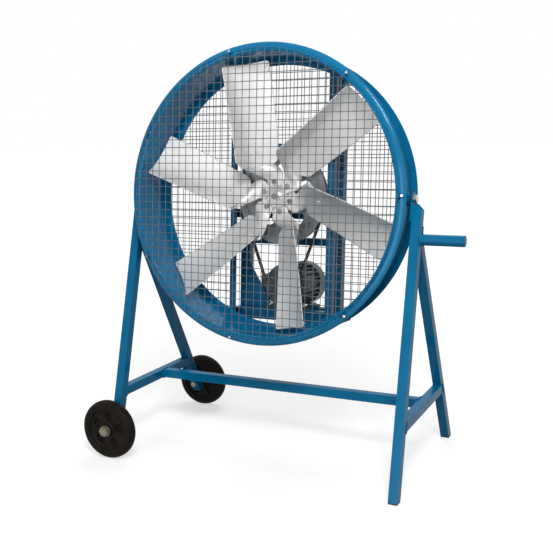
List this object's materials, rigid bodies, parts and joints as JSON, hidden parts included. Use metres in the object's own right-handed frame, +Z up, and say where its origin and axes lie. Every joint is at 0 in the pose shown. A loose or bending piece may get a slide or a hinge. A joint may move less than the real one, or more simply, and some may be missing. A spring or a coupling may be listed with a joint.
{
  "type": "drum fan",
  "caption": "Belt-driven drum fan with mesh guards that tilts between two A-frames of a blue tube stand with wheels on one side and a push handle.",
  "frame": {"origin": "on the floor, in the middle of the whole fan's outline", "axes": "+Z up, +X towards the push handle, -Y towards the front guard where the air comes out"},
  "size_m": [1.244, 0.709, 1.3602],
  "materials": {
    "blue_paint": "gloss enamel",
    "mesh_wire": "galvanised",
    "zinc": "zinc plated",
    "blade_aluminium": "satin",
    "shaft_steel": "turned",
    "sheave_iron": "machined and oiled",
    "bearing_iron": "painted",
    "motor_iron": "dark green grey paint",
    "belt_rubber": "matt",
    "tyre_rubber": "matt",
    "rim_plastic": "moulded",
    "black_plastic": "moulded"
  },
  "bodies": {
    "stand": {"front_leg_left": "blue_paint", "front_leg_right": "blue_paint", "rear_leg_left": "blue_paint", "rear_leg_right": "blue_paint", "braces": "blue_paint", "cross_tube": "blue_paint", "pivot_lugs": "blue_paint", "handle": "blue_paint", "handle_cap": "blue_paint", "foot_caps": "black_plastic", "wheel_axles": "zinc", "axle_nuts_and_washers": "zinc"},
    "drum": {"drum_shell": "blue_paint", "inlet_ring": "blue_paint", "pivot_bosses": "blue_paint", "friction_washers": "zinc", "pivot_bolts": "zinc", "front_guard": "mesh_wire", "guard_clips": "blue_paint", "guard_bolts": "zinc", "rear_guard_left": "mesh_wire", "rear_guard_right": "mesh_wire", "rear_guard_top": "mesh_wire", "front_uprights": "blue_paint", "rear_uprights": "blue_paint", "frame_ties": "blue_paint", "top_rail": "blue_paint", "cross_rail": "blue_paint", "bearing_beams": "blue_paint", "motor_rails": "blue_paint", "gusset": "blue_paint", "pillow_blocks": "bearing_iron", "bearing_inserts": "shaft_steel", "bearing_bolts": "zinc", "belt": "belt_rubber", "motor_housing": "motor_iron", "motor_shields": "motor_iron", "motor_cowl": "motor_iron", "terminal_box": "motor_iron", "cable_gland": "black_plastic", "motor_bolts": "zinc"},
    "impeller": {"fan_shaft": "shaft_steel", "fan_hub": "zinc", "shaft_nut": "zinc", "blade_arms": "zinc", "blade_bolts": "zinc", "sheave": "sheave_iron", "blade_1": "blade_aluminium", "blade_2": "blade_aluminium", "blade_3": "blade_aluminium", "blade_4": "blade_aluminium", "blade_5": "blade_aluminium", "blade_6": "blade_aluminium"},
    "motor_rotor": {"motor_shaft": "shaft_steel", "motor_pulley": "sheave_iron"},
    "front_wheel": {"front_wheel_rim": "rim_plastic", "front_wheel_tyre": "tyre_rubber"},
    "rear_wheel": {"rear_wheel_rim": "rim_plastic", "rear_wheel_tyre": "tyre_rubber"}
  },
  "joints": [
    {"name": "drum_tilt", "type": "hinge", "parent": "stand", "child": "drum", "pos_m": [-0.025, -0.06161, 0.875], "axis": [-1, 0, 0], "range_deg": [-94.8, 85.2]},
    {"name": "impeller_spin", "type": "hinge", "parent": "drum", "child": "impeller", "pos_m": [-0.025, -0.06161, 0.875], "axis": [0, -0.9965, 0.0837], "continuous": true},
    {"name": "motor_spin", "type": "hinge", "parent": "drum", "child": "motor_rotor", "pos_m": [-0.025, 0.01244, 0.56171], "axis": [0, -0.9965, 0.0837], "continuous": true},
    {"name": "front_wheel_spin", "type": "hinge", "parent": "stand", "child": "front_wheel", "pos_m": [-0.522, -0.31622, 0.1], "axis": [0, 1, 0], "continuous": true},
    {"name": "rear_wheel_spin", "type": "hinge", "parent": "stand", "child": "rear_wheel", "pos_m": [-0.522, 0.31622, 0.1], "axis": [0, 1, 0], "continuous": true}
  ],
  "couplings": [
    {"joint": "motor_spin", "follows": "impeller_spin", "ratio": 3.2292}
  ]
}
